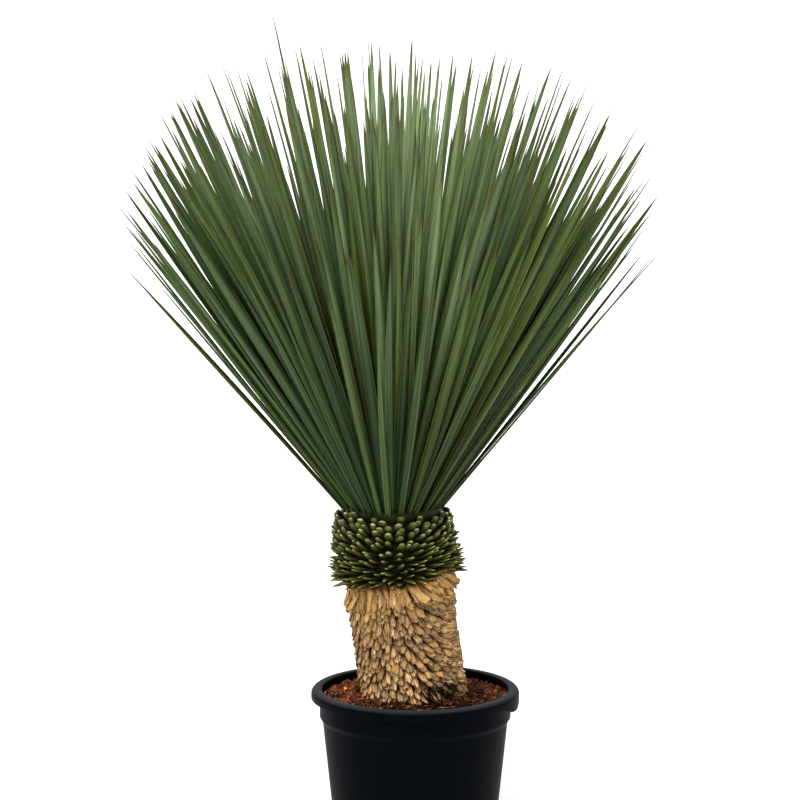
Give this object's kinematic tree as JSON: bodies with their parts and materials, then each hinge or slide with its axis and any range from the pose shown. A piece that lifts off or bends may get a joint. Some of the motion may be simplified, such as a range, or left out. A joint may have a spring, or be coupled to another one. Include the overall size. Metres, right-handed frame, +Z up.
{
  "type": "potted beaked yucca",
  "caption": "Beaked yucca in a black nursery pot: leaning trunk shingled with tan leaf bases, a green stub band and a fan of stiff narrow leaves.",
  "frame": {"origin": "centre of the pot's underside", "axes": "+Z up, -Y towards the front, +X to the viewer's right"},
  "size_m": [0.7198, 0.719, 1.1431],
  "materials": {
    "black_polypropylene": "moulded polypropylene, scuffed grey on the rim",
    "coir_soil": "loose fibrous coir and bark crumb, damp",
    "dry_leaf_bases": "dry, fibrous cut leaf bases",
    "green_leaf_bases": "living leaf bases with pale cut ends",
    "green_leaves": "stiff waxy leaves with fine ribs and thin pale edges"
  },
  "bodies": {
    "root": {"pot": "black_polypropylene", "soil": "coir_soil", "trunk": "dry_leaf_bases", "green_leaf_bases": "green_leaf_bases", "leaf_crown": "green_leaves"}
  },
  "joints": []
}
